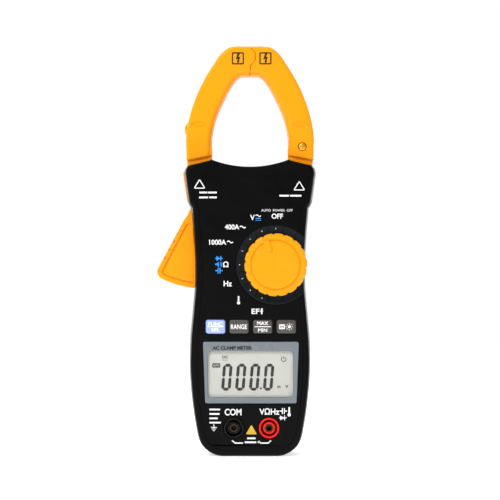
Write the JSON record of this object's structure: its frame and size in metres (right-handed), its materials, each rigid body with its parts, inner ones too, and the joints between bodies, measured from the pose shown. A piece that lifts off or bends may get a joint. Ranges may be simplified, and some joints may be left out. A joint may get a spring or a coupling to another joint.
{
  "type": "clamp meter",
  "caption": "Hand-held digital clamp meter with a trigger-opened transformer jaw, rotary selector, push keys, display and test sockets.",
  "frame": {"origin": "middle of the flat foot at the housing's bottom end, on the housing's centre line", "axes": "+Z along the meter from the foot to the jaw tips, -Y out of the display face, +X to the right of someone reading the display"},
  "size_m": [0.1045, 0.0442, 0.2701],
  "materials": {
    "case_black": "fine satin moulded black plastic",
    "jaw_yellow": "smooth satin yellow plastic",
    "key_grey": "matt warm grey keycap",
    "key_lavender": "matt lavender blue keycap",
    "bezel_grey_blue": "printed grey-blue window border",
    "window_clear": "clear acrylic window",
    "lcd": "grey reflective liquid crystal panel",
    "light_panel": "milky light guide",
    "inner_white": "natural acetal",
    "inner_rubber": "black silicone or moulded resin",
    "board_green": "solder-masked glass fibre board",
    "core_steel": "stacked laminations",
    "bright_steel": "zinc-plated steel",
    "coil_copper": "enamelled copper winding on a bobbin",
    "contact_brass": "plated brass",
    "socket_black": "smooth black insulator",
    "socket_red": "smooth red insulator",
    "battery": "plain metal-jacket battery"
  },
  "bodies": {
    "case": {"backlight_panel": "light_panel", "battery": "battery", "battery_snap": "inner_rubber", "buzzer": "inner_rubber", "case_screw_1": "bright_steel", "case_screw_2": "bright_steel", "case_screw_3": "bright_steel", "case_screw_4": "bright_steel", "com_jack_contact": "contact_brass", "com_jack_shroud": "socket_black", "detent_ring": "inner_white", "display_bezel": "bezel_grey_blue", "display_window": "window_clear", "fixed_jaw_coil": "coil_copper", "fixed_jaw_core": "core_steel", "fixed_jaw_front": "jaw_yellow", "fixed_jaw_rear": "jaw_yellow", "fixed_jaw_screw": "bright_steel", "front_case": "case_black", "jaw_pivot_pin": "bright_steel", "jaw_return_spring": "bright_steel", "keypad_mat": "inner_rubber", "lcd_connector": "inner_rubber", "lcd_panel": "lcd", "main_board": "board_green", "measuring_chip": "inner_rubber", "rear_case": "case_black", "volt_jack_contact": "contact_brass", "volt_jack_shroud": "socket_red"},
    "moving_jaw": {"moving_jaw_coil": "coil_copper", "moving_jaw_core": "core_steel", "moving_jaw_front": "jaw_yellow", "moving_jaw_rear": "jaw_yellow", "moving_jaw_screw": "bright_steel", "jaw_pivot_bush": "contact_brass"},
    "selector": {"selector_knob": "jaw_yellow", "switch_rotor": "inner_white", "detent_ball_1": "bright_steel", "detent_ball_2": "bright_steel", "detent_spring_1": "bright_steel", "detent_spring_2": "bright_steel"},
    "function_key": {"function_key": "key_lavender"},
    "range_key": {"range_key": "key_grey"},
    "max_min_key": {"max_min_key": "key_grey"},
    "hold_key": {"hold_key": "key_grey"},
    "cover": {"battery_cover": "case_black", "battery_cover_screw": "bright_steel"}
  },
  "joints": [
    {"name": "jaw_open", "type": "hinge", "parent": "case", "child": "moving_jaw", "pos_m": [-0.03, 0, 0.175], "axis": [0, -1, 0], "range_deg": [0, 25], "stiffness_Nm_per_rad": 0.6, "springref_deg": -20.05},
    {"name": "selector_turn", "type": "hinge", "parent": "case", "child": "selector", "pos_m": [0.0169, 0, 0.1258], "axis": [0, -1, 0], "range_deg": [-22.5, 135]},
    {"name": "function_key_press", "type": "slide", "parent": "case", "child": "function_key", "axis": [0, 1, 0], "range_m": [0, 0.0007], "stiffness_N_per_m": 800, "springref_m": -0.0005},
    {"name": "range_key_press", "type": "slide", "parent": "case", "child": "range_key", "axis": [0, 1, 0], "range_m": [0, 0.0007], "stiffness_N_per_m": 800, "springref_m": -0.0005},
    {"name": "max_min_key_press", "type": "slide", "parent": "case", "child": "max_min_key", "axis": [0, 1, 0], "range_m": [0, 0.0007], "stiffness_N_per_m": 800, "springref_m": -0.0005},
    {"name": "hold_key_press", "type": "slide", "parent": "case", "child": "hold_key", "axis": [0, 1, 0], "range_m": [0, 0.0007], "stiffness_N_per_m": 800, "springref_m": -0.0005},
    {"name": "cover_off", "type": "slide", "parent": "case", "child": "cover", "axis": [0, 1, 0], "range_m": [0, 0.03]}
  ]
}
